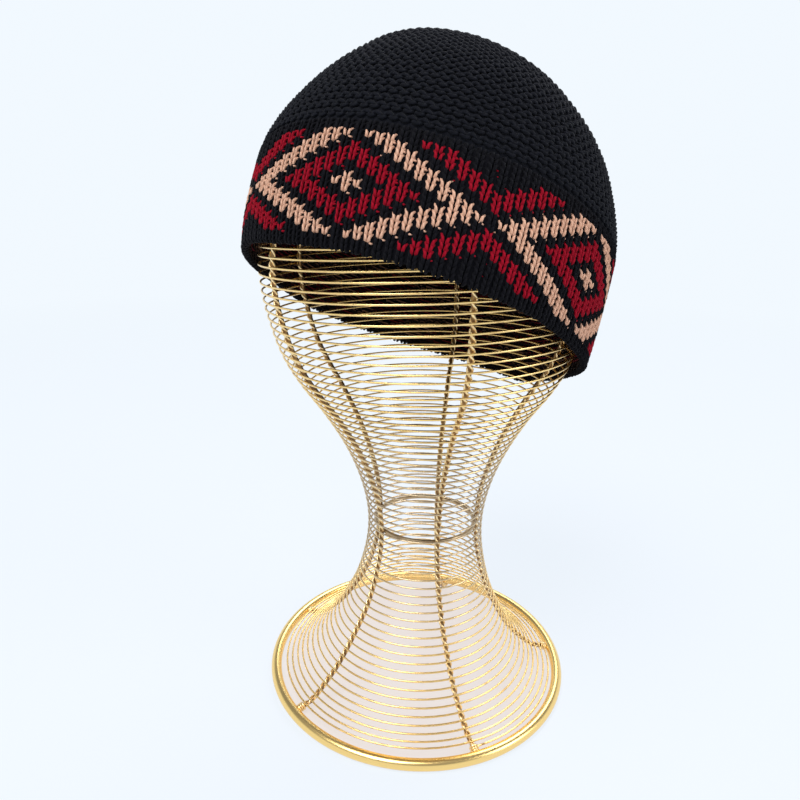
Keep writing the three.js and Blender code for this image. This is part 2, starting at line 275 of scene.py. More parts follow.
class Shape:
    """Faces of several sizes on one list of vertices, with a coordinate pair at each corner."""

    def __init__(self):
        self.vertices, self.faces, self.corners = [], [], []
        self.count = 0

    def add(self, vertices, faces, corners):
        self.vertices.append(vertices.reshape(-1, 3))
        for group, pairs in zip(faces, corners):
            self.faces.append(group + self.count)
            self.corners.append(pairs)
        self.count += self.vertices[-1].shape[0]

    def strands(self, paths, reference, width, depth, sides, closed=False):
        """Tubes along paths of shape (tubes, points, 3). The width lies square to the reference direction."""
        tubes, count = paths.shape[:2]
        if closed:
            tangent = np.roll(paths, -1, 1) - np.roll(paths, 1, 1)
        else:
            tangent = np.gradient(paths, axis=1)
        tangent = tangent / np.linalg.norm(tangent, axis=-1, keepdims=True)
        across = np.cross(reference, tangent)
        across = across / np.linalg.norm(across, axis=-1, keepdims=True)
        upward = np.cross(tangent, across)
        angle = np.arange(sides) / sides * TURN
        width = np.broadcast_to(width, (tubes, count))[..., None, None]
        depth = np.broadcast_to(depth, (tubes, count))[..., None, None]
        ring = across[:, :, None] * np.cos(angle)[:, None] * width
        ring = ring + upward[:, :, None] * np.sin(angle)[:, None] * depth
        vertices = paths[:, :, None] + ring
        spans = count if closed else count - 1
        tube, i, j = np.meshgrid(np.arange(tubes), np.arange(spans), np.arange(sides), indexing="ij")
        follow, turn = (i + 1) % count, (j + 1) % sides

        def index(a, b):
            return ((tube * count + a) * sides + b).ravel()

        quads = np.stack([index(i, j), index(i, turn), index(follow, turn), index(follow, j)], -1)
        ahead = np.roll(paths, -1, 1) if closed else paths[:, 1:]
        steps = np.linalg.norm(ahead - paths[:, :spans], axis=-1)
        along = np.concatenate([np.zeros((tubes, 1)), np.cumsum(steps, 1)], 1)
        near, far = along[tube, i], along[tube, i + 1]
        around, next_around = j / sides, (j + 1) / sides
        pairs = [np.stack([around, near], -1), np.stack([next_around, near], -1)]
        pairs = pairs + [np.stack([next_around, far], -1), np.stack([around, far], -1)]
        faces = [quads]
        corners = [np.stack([p.reshape(-1, 2) for p in pairs], 1)]
        if not closed:
            first = np.arange(tubes)[:, None] * count * sides
            faces.append(first + np.arange(sides)[::-1])
            faces.append(first + (count - 1) * sides + np.arange(sides))
            corners += [np.zeros((tubes, sides, 2))] * 2
        self.add(vertices, faces, corners)

    def skin(self, points):
        """A closed tube of rings: points of shape (rings, around, 3), joined round both ways."""
        rings, around = points.shape[:2]
        i, j = np.meshgrid(np.arange(rings), np.arange(around), indexing="ij")
        follow, turn = (i + 1) % rings, (j + 1) % around
        quads = np.stack([i * around + j, i * around + turn, follow * around + turn, follow * around + j], -1)
        quads = quads.reshape(-1, 4)
        self.add(points, [quads], [np.zeros((len(quads), 4, 2))])

    def build(self, name, finish, slot, replaces):
        """The finished piece: one smooth mesh that rides on the root body."""
        vertices = np.concatenate(self.vertices) * MM
        sizes = np.concatenate([np.full(len(group), group.shape[1]) for group in self.faces])
        loops = np.concatenate([group.ravel() for group in self.faces])
        mesh = bpy.data.meshes.new(name)
        mesh.vertices.add(len(vertices))
        mesh.vertices.foreach_set("co", vertices.astype(np.float32).ravel())
        mesh.loops.add(len(loops))
        mesh.loops.foreach_set("vertex_index", loops.astype(np.int32))
        mesh.polygons.add(len(sizes))
        starts = np.concatenate([[0], np.cumsum(sizes)[:-1]])
        mesh.polygons.foreach_set("loop_start", starts.astype(np.int32))
        mesh.polygons.foreach_set("loop_total", sizes.astype(np.int32))
        mesh.polygons.foreach_set("use_smooth", np.ones(len(sizes), bool))
        layer = mesh.uv_layers.new(name="yarn")
        pairs = np.concatenate([pair.reshape(-1, 2) for pair in self.corners])
        layer.data.foreach_set("uv", pairs.astype(np.float32).ravel())
        mesh.update(calc_edges=True)
        mesh.validate()
        mesh.materials.append(finish)
        made = bpy.data.objects.new(name, mesh)
        bpy.context.scene.collection.objects.link(made)
        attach(made, "root")
        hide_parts(*replaces)


# Finishes: materials built from arithmetic on sockets.


class Value:
    """A node's output that ordinary arithmetic turns into Math nodes."""

    def __init__(self, finish, socket):
        self.finish, self.socket = finish, socket

    def maths(self, operation, *values):
        return self.finish.node("ShaderNodeMath", {"operation": operation}, dict(enumerate(values)))

    def __add__(self, other):
        return self.maths("ADD", self, other)

    def __sub__(self, other):
        return self.maths("SUBTRACT", self, other)

    def __rsub__(self, other):
        return self.maths("SUBTRACT", other, self)

    def __mul__(self, other):
        return self.maths("MULTIPLY", self, other)

    def __truediv__(self, other):
        return self.maths("DIVIDE", self, other)

    __radd__ = __add__
    __rmul__ = __mul__

    def sine(self):
        return self.maths("SINE", self)

    def absolute(self):
        return self.maths("ABSOLUTE", self)

    def clamped(self):
        return self.finish.node("ShaderNodeClamp", {}, {0: self})


class Nodes:
    """A tree of nodes, emptied, with one way to add to it."""

    def __init__(self, owner):
        owner.use_nodes = True
        self.tree = owner.node_tree
        self.tree.nodes.clear()

    def node(self, kind, settings, values, output=0):
        """Adds any node: its settings first, then the values or links of its sockets."""
        made = self.tree.nodes.new(kind)
        for name, value in settings.items():
            if name == "stops":
                self.stops(made.color_ramp, value)
            else:
                setattr(made, name, value)
        for socket, value in values.items():
            if isinstance(value, Value):
                self.tree.links.new(value.socket, made.inputs[socket])
            else:
                made.inputs[socket].default_value = value
        return Value(self, made.outputs[output]) if made.outputs else None

    def stops(self, ramp, stops):
        while len(ramp.elements) < len(stops):
            ramp.elements.new(0.5)
        for element, (place, colour) in zip(ramp.elements, stops):
            element.position = place
            element.color = colour


class Finish(Nodes):
    """A material with its surface shader ready; what is the same all over is set on the shader."""

    def __init__(self, name, **sockets):
        self.material = bpy.data.materials.new(name)
        super().__init__(self.material)
        self.shader = self.tree.nodes.new("ShaderNodeBsdfPrincipled")
        output = self.tree.nodes.new("ShaderNodeOutputMaterial")
        self.tree.links.new(self.shader.outputs[0], output.inputs[0])
        for socket, value in sockets.items():
            self.shader.inputs[socket.replace("_", " ")].default_value = value

    def place(self):
        return self.node("ShaderNodeTexCoord", {}, {}, "Object")

    def noise(self, size, detail):
        """Soft blotches of a size in millimetres, from 0 to 1."""
        scale = (1 / (size * MM),) * 3
        place = self.node("ShaderNodeVectorMath", {"operation": "MULTIPLY"}, {0: self.place(), 1: scale})
        return self.node("ShaderNodeTexNoise", {}, {"Vector": place, "Scale": 1.0, "Detail": detail})

    def mix(self, factor, first, second):
        return self.node("ShaderNodeMix", {"data_type": "RGBA"}, {0: factor, 6: first, 7: second}, 2)

    def feed(self, socket, value):
        self.tree.links.new(value.socket, self.shader.inputs[socket])

    def bump(self, height, distance):
        """Relief, its full height given in millimetres."""
        values = {"Height": height, "Distance": distance * MM, "Strength": 1.0}
        self.feed("Normal", self.node("ShaderNodeBump", {}, values))


def rgb(red, green, blue):
    return (red, green, blue, 1.0)


PLY_TWIST = 2.6
PLY_SHADE_SHARE = 0.45
FIBRE_SHARE = 0.4
BLOTCH_SHARE = 0.55
SHADE_DROP = 0.2
YARN_RELIEF = 0.22


def yarn_finish(name, colour, valley_shade_and_blotch_colour, sheen, gloss=0.2):
    """Wool yarn: two plies twisted round each other, with painted shade in the valleys between the plies,
    uneven in colour, with a haze of fibres.
    """
    finish = Finish(name, Roughness=0.92, Sheen_Weight=sheen, Sheen_Roughness=0.45)
    finish.shader.inputs["Specular IOR Level"].default_value = gloss
    around = finish.node("ShaderNodeUVMap", {"uv_map": "yarn"}, {})
    u = finish.node("ShaderNodeSeparateXYZ", {}, {0: around}, 0)
    v = finish.node("ShaderNodeSeparateXYZ", {}, {0: around}, 1)
    ply = ((u * 2 + v / PLY_TWIST) * TURN).sine() * 0.5 + 0.5
    fibres = finish.noise(0.35, 3.0)
    blotch = finish.noise(5.0, 2.0)
    # The ply term darkens the valleys between the plies: painted shade. The fibre and blotch terms are the
    # yarn's own uneven colour.
    shade = (ply * PLY_SHADE_SHARE + fibres * FIBRE_SHARE + blotch * BLOTCH_SHARE - SHADE_DROP).clamped()
    finish.feed("Base Color", finish.mix(shade, valley_shade_and_blotch_colour, colour))
    finish.bump(ply * 0.7 + fibres * 0.5, YARN_RELIEF)
    return finish.material


WEAR_LEVEL = 0.62
WEAR_EDGE = 5.0
WEAR_ROUGHNESS = 0.16


def tarnish(finish, colour, worn_colour, share, blotches):
    """Metal's colour with duller, browner places, and how worn each place is."""
    worn = ((finish.noise(blotches, 3.0) - (WEAR_LEVEL - share)) * WEAR_EDGE).clamped()
    return finish.mix(worn, colour, worn_colour), worn


def gold_finish(name, colour, worn_colour, roughness, share, blotches=9.0):
    """Gold-coloured metal, the same all over but for its duller places."""
    finish = Finish(name, Metallic=1.0)
    shown, worn = tarnish(finish, colour, worn_colour, share, blotches)
    finish.feed("Base Color", shown)
    finish.feed("Roughness", worn * WEAR_ROUGHNESS + roughness)
    return finish.material


BRIGHT_WIRE = rgb(0.98, 0.70, 0.29)
WORN_WIRE = rgb(0.70, 0.46, 0.18)
NECK_WIRE = rgb(0.60, 0.49, 0.36)
WIRE_ROUGHNESS = 0.26
GREY_CENTRE = 98.7
GREY_REACH = 45.0
GREY_LEVEL = 1.4
GREY_SHARE = 0.85


def wire_finish():
    """The winding's wire: bright gold above and in the foot, and a greyer brown round the neck."""
    finish = Finish("bright_wire_gold", Metallic=1.0)
    shown, worn = tarnish(finish, BRIGHT_WIRE, WORN_WIRE, share=0.06, blotches=9.0)
    height = finish.node("ShaderNodeSeparateXYZ", {}, {0: finish.place()}, 2) / MM
    grey = (GREY_LEVEL - (height - GREY_CENTRE).absolute() / GREY_REACH).clamped()
    finish.feed("Base Color", finish.mix(grey * GREY_SHARE, shown, NECK_WIRE))
    finish.feed("Roughness", worn * WEAR_ROUGHNESS + WIRE_ROUGHNESS)
    return finish.material


# The crown's black is a little lighter and bluer than the band's black of the same yarn: painted light from
# above.
CROWN_BLACK_PAINTED_TOPLIGHT = yarn_finish(
    "crown_black_wool_painted_toplight", rgb(0.0053, 0.0060, 0.0106), rgb(0.0014, 0.0017, 0.0032), 0.022, 0.14
)
BLACK = yarn_finish("band_black_wool", rgb(0.0046, 0.0044, 0.0072), rgb(0.0014, 0.0013, 0.0024), 0.018, 0.12)
RED = yarn_finish("crimson_wool", rgb(0.335, 0.0022, 0.0165), rgb(0.17, 0.001, 0.007), 0.01, 0.12)
BEIGE = yarn_finish("beige_wool", rgb(0.76, 0.46, 0.325), rgb(0.47, 0.24, 0.15), 0.05)
YARNS = {"black": BLACK, "red": RED, "beige": BEIGE}
# Darker copies of the band's yarns for its inside: painted shade for the dim hollow of the hat.
SHADED_INSIDE_YARNS = {
    "black": yarn_finish("black_wool_inside_painted_shade", rgb(0.017, 0.0075, 0.006), rgb(0.007, 0.003, 0.003), 0.0),
    "red": yarn_finish("crimson_wool_inside_painted_shade", rgb(0.13, 0.003, 0.009), rgb(0.06, 0.001, 0.004), 0.0),
    "beige": yarn_finish("beige_wool_inside_painted_shade", rgb(0.22, 0.11, 0.07), rgb(0.10, 0.05, 0.03), 0.0),
}
RING_GOLD = gold_finish("polished_ring_gold", rgb(0.98, 0.69, 0.26), rgb(0.92, 0.58, 0.20), 0.27, 0.0, 40.0)
# The rib rods are a dark brown gold: painted shade in the grooves between the lashing's turns, where the rod
# shows.
ROD_GOLD_PAINTED_SHADE = gold_finish("rod_gold_painted_groove_shade", rgb(0.30, 0.175, 0.075), rgb(0.15, 0.09, 0.045), 0.38, 0.1)
NECK_GOLD = gold_finish("dull_neck_ring_gold", rgb(0.55, 0.42, 0.26), rgb(0.28, 0.20, 0.12), 0.3, 0.1)
# The lashing is a paler, creamier gold than the winding's wire: a painted highlight.
LASHING_GOLD_PAINTED_HIGHLIGHT = gold_finish("lashing_wire_gold_painted_highlight", rgb(0.98, 0.76, 0.42), rgb(0.66, 0.44, 0.20), 0.28, 0.06, 5.0)
WIRE_GOLD = wire_finish()


# The band: its outline goes from inside the hem, under it and up the outside to the top edge.

HAT_OUTLINE = smooth_line(HAT_SECTIONS)
HEM_STEPS = 16
LIP_INSET = 0.35


def band_outline():
    edge = BAND_WALL / 2
    heights, radii, _ = HAT_OUTLINE.T
    foot_radius = np.interp(edge, heights, radii)
    turn = np.linspace(-TURN / 4, TURN / 4, HEM_STEPS, endpoint=False)
    hem = np.stack([edge - edge * np.cos(turn), foot_radius - edge + edge * np.sin(turn), 0 * turn], -1)
    wall = HAT_OUTLINE[(heights > edge) & (heights < BAND_HEIGHT)]
    lip = np.array([[BAND_HEIGHT, np.interp(BAND_HEIGHT, heights, radii) - LIP_INSET, wall[-1, 2]]])
    return np.concatenate([hem, wall, lip])


BAND = Form(band_outline())


def row_travel(row):
    """Distance along the band's outline to the middle of a row, counted from the lozenges' centres."""
    return BAND.length - (BAND_HEIGHT - MIDDLE_ROW) + row * ROW_HEIGHT


def stitch_colour(column, row):
    """The chart's colour at a column and a row, both counted from a lozenge's centre."""
    across = (column + REPEAT_COLUMNS // 2 - 1) % REPEAT_COLUMNS - (REPEAT_COLUMNS // 2 - 1)
    steps = abs(across) + abs(row)
    for nearest, furthest, colour in CHART:
        if nearest <= steps <= furthest and abs(row) <= PATTERN_ROWS:
            return colour
    return "black"


def column_azimuth(column):
    """Azimuth of a column; the knitting is stretched a little more to the left of the first lozenge."""
    column = np.asarray(column, float)
    left_edge = STRETCH[0, 0]
    wrapped = (column - left_edge) % BAND_COLUMNS + left_edge
    shift = np.interp(wrapped, STRETCH[:, 0], STRETCH[:, 1], right=0.0)
    return np.radians(FIRST_LOZENGE + column / BAND_COLUMNS * 360 + shift)


def band_paths(columns, rows, across, up, lift, wander):
    """Strand paths at the given stitches: across in stitch widths, up and lift in millimetres."""
    columns, rows = np.asarray(columns, float)[:, None], np.asarray(rows, float)[:, None]
    jog = CHANCE.normal(0, 1, (3, len(columns), 1)) * wander
    azimuth = column_azimuth(columns + np.asarray(across) + jog[0] / STITCH_WIDTH)
    travel = row_travel(rows) + np.asarray(up) + jog[1]
    points, normals = BAND.place(azimuth, travel, np.asarray(lift) + jog[2] * 0.5)
    return on_hat(points, normals)


# One leg of a stitch, from its point up to where it slips behind the stitch above.
LEG_ACROSS = np.array([0.155, 0.16, 0.17, 0.21, 0.30, 0.40])
LEG_UP = np.array([-1.66, -1.42, -0.62, 0.43, 1.18, 1.68])
LEG_LIFT = np.array([-0.92, -0.54, -0.36, -0.42, -0.84, -1.5])
LEG_WIDTH = np.array([0.5, 0.62, 0.64, 0.62, 0.53, 0.38])
LEG_DEPTH = np.array([0.42, 0.58, 0.64, 0.62, 0.5, 0.34])
LEG_WANDER = 0.1
LEG_PLUMPNESS = 0.05
BLACK_SIDES = 5
COLOURED_SIDES = 6

# A coloured yarn's short length in sight where it goes to the back.
LEAVING_ACROSS = np.array([0.1, 0.24, 0.38, 0.52])
LEAVING_UP = np.array([-1.7, -1.9, -1.95, -1.8])
LEAVING_LIFT = np.array([-0.6, -0.35, -0.45, -1.2])
LEAVING_WIDTH = np.array([0.34, 0.42, 0.42, 0.3])
LEAVING_DEPTH = np.array([0.34, 0.4, 0.4, 0.3])
LEAVING_WANDER = 0.12

# A glint of a carried yarn between two columns of black.
SPECK_ACROSS = np.array([0.40, 0.47, 0.53, 0.6])
SPECK_UP = np.array([-0.5, -0.3, -0.3, -0.5])
SPECK_LIFT = np.array([-1.5, -1.12, -1.12, -1.5])
SPECK_WIDTH = 0.3
SPECK_DEPTH = 0.26
SPECK_WANDER = 0.25
SPECK_CHANCE = 0.12


def knit_stitches(shape, stitches, sides):
    """The outside's stitches: two legs that meet at the bottom and spread at the top."""
    columns, rows = np.array(stitches, float).T
    for side in (-1, 1):
        paths, normals = band_paths(columns, rows, side * LEG_ACROSS, LEG_UP, LEG_LIFT, LEG_WANDER)
        plump = 1 + CHANCE.normal(0, LEG_PLUMPNESS, (len(columns), 1))
        shape.strands(paths, normals, LEG_WIDTH * plump, LEG_DEPTH * plump, sides)


def travelling_strands(shape, stitches):
    """Where a coloured yarn leaves its last stitch for the back, a short length of it shows."""
    columns, rows = np.array(stitches, float).T
    ways = (LEAVING_ACROSS, LEAVING_UP, LEAVING_LIFT)
    paths, normals = band_paths(columns, rows, *ways, LEAVING_WANDER)
    shape.strands(paths, normals, LEAVING_WIDTH, LEAVING_DEPTH, 5)


def specks(shape, stitches):
    """Small glints of a carried yarn between two columns of black."""
    columns, rows = np.array(stitches, float).T
    paths, normals = band_paths(columns, rows, SPECK_ACROSS, SPECK_UP, SPECK_LIFT, SPECK_WANDER)
    shape.strands(paths, normals, SPECK_WIDTH, SPECK_DEPTH, 5)


def band_stitches():
    """Every stitch of the band as (column, row), by its colour."""
    found = {colour: [] for colour in YARNS}
    for column in range(BAND_COLUMNS):
        for row in range(-ROWS_EITHER_SIDE - HEM_ROWS, ROWS_EITHER_SIDE + 1):
            found[stitch_colour(column, row)].append((column, row))
    return found


def leaving(stitches, colour):
    """The stitches whose neighbour towards +X has another colour."""
    return [(c, r) for c, r in stitches if stitch_colour(c + 1, r) != colour]


def speck_places(colour):
    """Black stitches within three columns of the colour, thinned by chance."""
    places = []
    for column in range(BAND_COLUMNS):
        for row in range(-PATTERN_ROWS, PATTERN_ROWS + 1):
            near = any(stitch_colour(column + k, row) == colour for k in (-3, -2, 2, 3, 4))
            clear = all(stitch_colour(column + k, row) == "black" for k in (0, 1))
            if near and clear and CHANCE.random() < SPECK_CHANCE:
                places.append((column, row))
    return places


def make_band():
    stitches = band_stitches()
    for colour, places in stitches.items():
        shape = Shape()
        knit_stitches(shape, places, BLACK_SIDES if colour == "black" else COLOURED_SIDES)
        if colour != "black":
            travelling_strands(shape, leaving(places, colour))
            specks(shape, speck_places(colour))
        shape.build(f"band_{colour}_stitches", YARNS[colour], f"{colour}_wool", ["patterned_band"])


# The band's inside: the wrong side of the knitting, with the carried yarns lying across it, in darker copies
# of the yarns that are painted shade.
INNER_FACE = 2.5
INNER_ACROSS = np.array([-0.52, -0.26, 0.0, 0.26, 0.52])
INNER_UP = np.array([-0.75, 0.45, 0.8, 0.45, -0.75])
INNER_LIFT = np.array([0.1, 0.45, 0.52, 0.45, 0.1])
INNER_YARN = 0.42
INNER_WANDER = 0.12
FLOAT_LIFT = 0.75
FLOAT_SAG = 0.14
FLOAT_OVERLAP = 0.6
FLOAT_WANDER = 0.2
LONGEST_RUN = 9


def inside_paths(columns, rows, across, up, lift, wander):
    """As band_paths, on the inner face; a positive lift is further from the face, towards the hollow."""
    return band_paths(columns, rows, across, up, -INNER_FACE - np.asarray(lift), wander)


def make_band_inside():
    for colour, places in band_stitches().items():
        columns, rows = np.array([(c, r) for c, r in places if r >= -ROWS_EITHER_SIDE], float).T
        shape = Shape()
        paths, normals = inside_paths(columns, rows, INNER_ACROSS, INNER_UP, INNER_LIFT, INNER_WANDER)
        shape.strands(paths, normals, INNER_YARN, INNER_YARN, 4)
        floats(shape, colour)
        shape.build(f"band_inside_{colour}", SHADED_INSIDE_YARNS[colour], f"{colour}_wool", ["patterned_band"])


def runs(row):
    """Stretches of one colour along a row, as first column, length and colour."""
    found = []
    column = 0
    while column < BAND_COLUMNS:
        length = 1
        while length < LONGEST_RUN and stitch_colour(column + length, row) == stitch_colour(column, row):
            length += 1
        found.append((column, length, stitch_colour(column, row)))
        column += length
    return found


def floats(shape, colour):
    """The lengths of one yarn that cross behind stitches of another colour."""
    across = np.linspace(-0.5, 0.5, 6)
    for row in range(-PATTERN_ROWS, PATTERN_ROWS + 1):
        stretches = runs(row)
        for (column, length, here), (_, _, after) in zip(stretches, stretches[1:]):
            carried = after if here == "black" else "black"
            if carried != colour or length < 2:
                continue
            centre = column + (length - 1) / 2
            sag = FLOAT_SAG * length * (1 - (2 * across) ** 2)
            reach = across * (length + FLOAT_OVERLAP)
            paths, normals = inside_paths([centre], [row], reach, -sag, FLOAT_LIFT, FLOAT_WANDER)
            shape.strands(paths, normals, INNER_YARN, INNER_YARN, 5)


# The crown: ridges of purl bumps running round it, each ridge an upper and a lower row of arcs.


CROWN_GAP = 0.3
CROWN = Form(HAT_OUTLINE[HAT_OUTLINE[:, 0] >= BAND_HEIGHT + CROWN_GAP])
ARC_ACROSS = np.array([-0.5, -0.36, -0.17, 0.0, 0.17, 0.36, 0.5])
ARC_UP = np.array([-0.6, 0.15, 0.8, 1.0, 0.8, 0.15, -0.6])
ARC_LIFT = np.array([-1.7, -1.0, -0.58, -0.44, -0.58, -1.0, -1.7])
ARC_WIDTH = np.array([0.6, 0.8, 0.9, 0.92, 0.9, 0.8, 0.6])
ARC_DEPTH_SHARE = 0.9
ARC_WANDER = 0.1
UNDER_ARC_DROP = 0.25
SMALL_RIDGE = 12.0


def make_ridge(shape, travel):
    """One ridge: arcs that open downwards above, and between them arcs that open upwards below."""
    radius = CROWN.at(travel, "radius")[0]
    if radius < SMALL_RIDGE:
        count = max(5, round(radius * TURN / STITCH_WIDTH))
    else:
        count = 8 * round(radius * TURN / (STITCH_WIDTH * 8))
    for side in (1, -1):
        turn = np.arange(count)[:, None] + (0.5 if side < 0 else 0.0)
        jog = CHANCE.normal(0, ARC_WANDER, (3, count, 1))
        azimuth = (turn + ARC_ACROSS + jog[0] / STITCH_WIDTH) / count * TURN
        up = side * ARC_UP + jog[1]
        lift = ARC_LIFT + jog[2] * 0.5 - (UNDER_ARC_DROP if side < 0 else 0.0)
        points, normals = CROWN.place(azimuth, np.clip(travel + up, 0, CROWN.length), lift)
        paths, normals = on_hat(points, normals)
        shape.strands(paths, normals, ARC_WIDTH, ARC_WIDTH * ARC_DEPTH_SHARE, 5)


def make_crown():
    """The ridges, in two pieces so that neither is too heavy a mesh."""
    ridges = int(CROWN.length // RIDGE_PITCH)
    pitch = CROWN.length / ridges
    split = ridges * 2 // 5
    for name, span in (("crown_lower_ridges", range(split)), ("crown_upper_ridges", range(split, ridges))):
        shape = Shape()
        for ridge in span:
            make_ridge(shape, (ridge + 0.5) * pitch)
        shape.build(name, CROWN_BLACK_PAINTED_TOPLIGHT, "black_wool", ["knit_crown"])


# The wall behind the stitches: what shows dark between them, and the crown's ribbed inside.
# Each face is so many rings, so far in from the hat's outside.
WALL_SEGMENTS = 128
BAND_OUTER, BAND_OUTER_RINGS = -1.05, 30
BAND_INNER, BAND_INNER_RINGS = -BAND_WALL + 1.0, 24
BAND_INNER_LOW = 2.2
BAND_EDGE = 0.6
CROWN_OUTER, CROWN_OUTER_RINGS = -1.3, 48
CROWN_INNER, CROWN_INNER_RINGS = -3.1, 80
CROWN_EDGE = 0.3
CROWN_TOP = 1.5
CROWN_RIBBING = 0.5
SEAM_OUTER, SEAM_INNER = -1.4, -1.9


def make_wall():
    around = np.arange(WALL_SEGMENTS) / WALL_SEGMENTS * TURN
    hat = Form(HAT_OUTLINE)

    def ring(form, travel, lift):
        return on_hat(*form.place(around, np.full(around.shape, travel), lift))[0]

    shape = Shape()
    rising = np.linspace(BAND_EDGE, BAND.length - BAND_EDGE, BAND_OUTER_RINGS)
    falling = np.linspace(BAND_HEIGHT - BAND_EDGE, BAND_INNER_LOW, BAND_INNER_RINGS)
    outside = [ring(BAND, travel, BAND_OUTER) for travel in rising]
    inside = [ring(hat, travel, BAND_INNER) for travel in falling]
    shape.skin(np.array(outside + inside))
    shape.build("band_wall", BLACK, "black_wool", ["patterned_band"])

    # The crown's wall goes down into the band's, so no light comes through where they meet.
    shape = Shape()
    joint = BAND_HEIGHT - SEAM_DEPTH
    rising = np.linspace(CROWN_EDGE, CROWN.length - CROWN_TOP, CROWN_OUTER_RINGS)
    falling = np.linspace(CROWN.length - CROWN_TOP, CROWN_EDGE, CROWN_INNER_RINGS)
    outside = [ring(CROWN, travel, CROWN_OUTER) for travel in rising]
    inside = []
    for travel in falling:
        relief = CROWN_RIBBING * math.cos(travel / RIDGE_PITCH * TURN)
        inside.append(ring(CROWN, travel, CROWN_INNER - relief))
    shape.skin(np.array([ring(hat, joint, SEAM_OUTER), *outside, *inside, ring(hat, joint, SEAM_INNER)]))
    shape.build("crown_wall", CROWN_BLACK_PAINTED_TOPLIGHT, "black_wool", ["knit_crown"])


# The stand.

STAND = Form(smooth_line(STAND_SECTIONS))
WINDING_START = STAND.travel_at(WINDING_LOW)
WINDING_SPAN = STAND.travel_at(WINDING_HIGH) - WINDING_START
CROWDED = WINDING_CROWDING * WINDING_CROWDED_TURNS
TURNS = round(WINDING_SPAN / WINDING_PITCH + CROWDED)
POINTS_PER_TURN = 80
RIB_STEPS = 90
DOME_STEPS = 25


def smoothstep(value, start, end):
    """From 0 at the start to 1 at the end, level at both."""
    t = np.clip((value - start) / (end - start), 0, 1)
    return t * t * (3 - 2 * t)


def rib_azimuth(rib, height):
    """Where a rib is at a height, in radians: it drifts from its foot to the neck and the shoulder."""
    foot, neck, shoulder = rib
    low = smoothstep(height, 0, NECK_RING_HEIGHT)
    high = smoothstep(height, NECK_RING_HEIGHT, STAND_SECTIONS[-1][0])
    return np.radians(foot + low * (neck - foot) + high * (shoulder - neck))


def wound(turn):
    """How far up the wire has come after some turns, in pitches: the first turns lie closer."""
    return turn - CROWDED * (1 - np.exp(-turn / WINDING_CROWDED_TURNS))


def winding_travel(turn, azimuth):
    """How far up the form the wire is after so many turns, tilted up on the +X side above the neck."""
    travel = WINDING_START + wound(turn) / wound(TURNS) * WINDING_SPAN
    height, radius = STAND.at(travel, "height", "radius")
    tilt = WINDING_SLOPE * smoothstep(height, NECK_RING_HEIGHT, WINDING_HIGH) * radius * np.sin(azimuth)
    height = np.clip(height + tilt, WINDING_LOW, STAND_SECTIONS[-1][0])
    return STAND.travel_at(height)


def make_winding():
    first_foot, first_neck, _ = RIBS[0]
    start = (first_foot - first_neck) / 360
    turn = np.linspace(start, TURNS, TURNS * POINTS_PER_TURN)
    azimuth = math.radians(first_neck) + turn * TURN
    points, normals = STAND.place(azimuth, winding_travel(turn, azimuth))
    shape = Shape()
    shape.strands(points[None] + STAND_AXIS, normals[None], ROUND_WIRE / 2, ROUND_WIRE / 2, 6)
    shape.build("wound_wire", WIRE_GOLD, "gold_wire", ["stand_winding"])


def rib_inset():
    """How far a rib's centre line lies inside the winding's."""
    return WINDING_WIRE / 2 + RIB_CLEARANCE + RIB_DIAMETER / 2


def rib_path(rib):
    """Out of the ring foot, up under the winding, and over the dome to the top ring."""
    start, end = rib_azimuth(rib, 0.0), rib_azimuth(rib, STAND_SECTIONS[-1][0])
    foot = [RIB_FOOT_RADIUS * math.sin(start), -RIB_FOOT_RADIUS * math.cos(start), RIB_FOOT_HEIGHT]
    travel = np.linspace(0, STAND.length, RIB_STEPS)
    side, _ = STAND.place(rib_azimuth(rib, STAND.at(travel, "height")[0]), travel, -rib_inset())
    top, radius, lean = STAND_SECTIONS[-1]
    width = radius - rib_inset()
    angle = np.linspace(0, math.acos(TOP_RING_RADIUS / width), DOME_STEPS)[1:, None]
    direction = np.array([math.sin(end), -math.cos(end), 0.0])
    dome = width * np.cos(angle) * direction + [lean, 0, top] + DOME_RISE * np.sin(angle) * [0, 0, 1]
    return np.concatenate([[foot], side[2:], dome]) + STAND_AXIS


def lashing_paths(rod, sideways):
    """Two fine wires wound round a rod and the winding's turns; they lie clear of the rod outside."""
    rod = rod[rod[:, 2] <= WINDING_HIGH]
    step = np.linalg.norm(np.diff(rod, axis=0), axis=1)
    along = np.concatenate([[0], np.cumsum(step)])
    fine = np.arange(LASHING_REACH, along[-1], LASHING_PITCH / LASHING_STEPS)
    path = np.stack([np.interp(fine, along, rod[:, axis]) for axis in range(3)], -1)
    tangent = np.gradient(path, axis=0)
    tangent = tangent / np.linalg.norm(tangent, axis=1, keepdims=True)
    outward = np.cross(sideways, tangent)
    angle = fine / LASHING_PITCH * TURN
    angles = np.stack([angle, angle + TURN / 2])[..., None]
    away = LASHING_SPREAD * np.cos(angles) * sideways + np.sin(angles) * outward
    return path + LASHING_OUT * outward + LASHING_REACH * away, away


def knot_paths(rod):
    """Tight turns of wire round a rod's foot."""
    along = rod[2] - rod[0]
    along = along / np.linalg.norm(along)
    level = np.cross(along, [0.0, 0.0, 1.0])
    level = level / np.linalg.norm(level)
    angle = np.arange(KNOT_STEPS)[:, None] / KNOT_STEPS * TURN
    circle = np.cos(angle) * level + np.sin(angle) * np.cross(along, level)
    centres = rod[0] + np.array(KNOT_TURNS)[:, None, None] * along
    return centres + KNOT_RADIUS * circle, along


def wire_ring(shape, radius, height, wire, lean, sides=12, segments=128):
    """A level ring of round wire, its centre moved towards +X by the lean."""
    angle = np.arange(segments) / segments * TURN
    path = np.stack([lean + radius * np.sin(angle), -radius * np.cos(angle), 0 * angle + height], -1)
    shape.strands(path[None] + STAND_AXIS, np.array([0.0, 0.0, 1.0]), wire / 2, wire / 2, sides, closed=True)


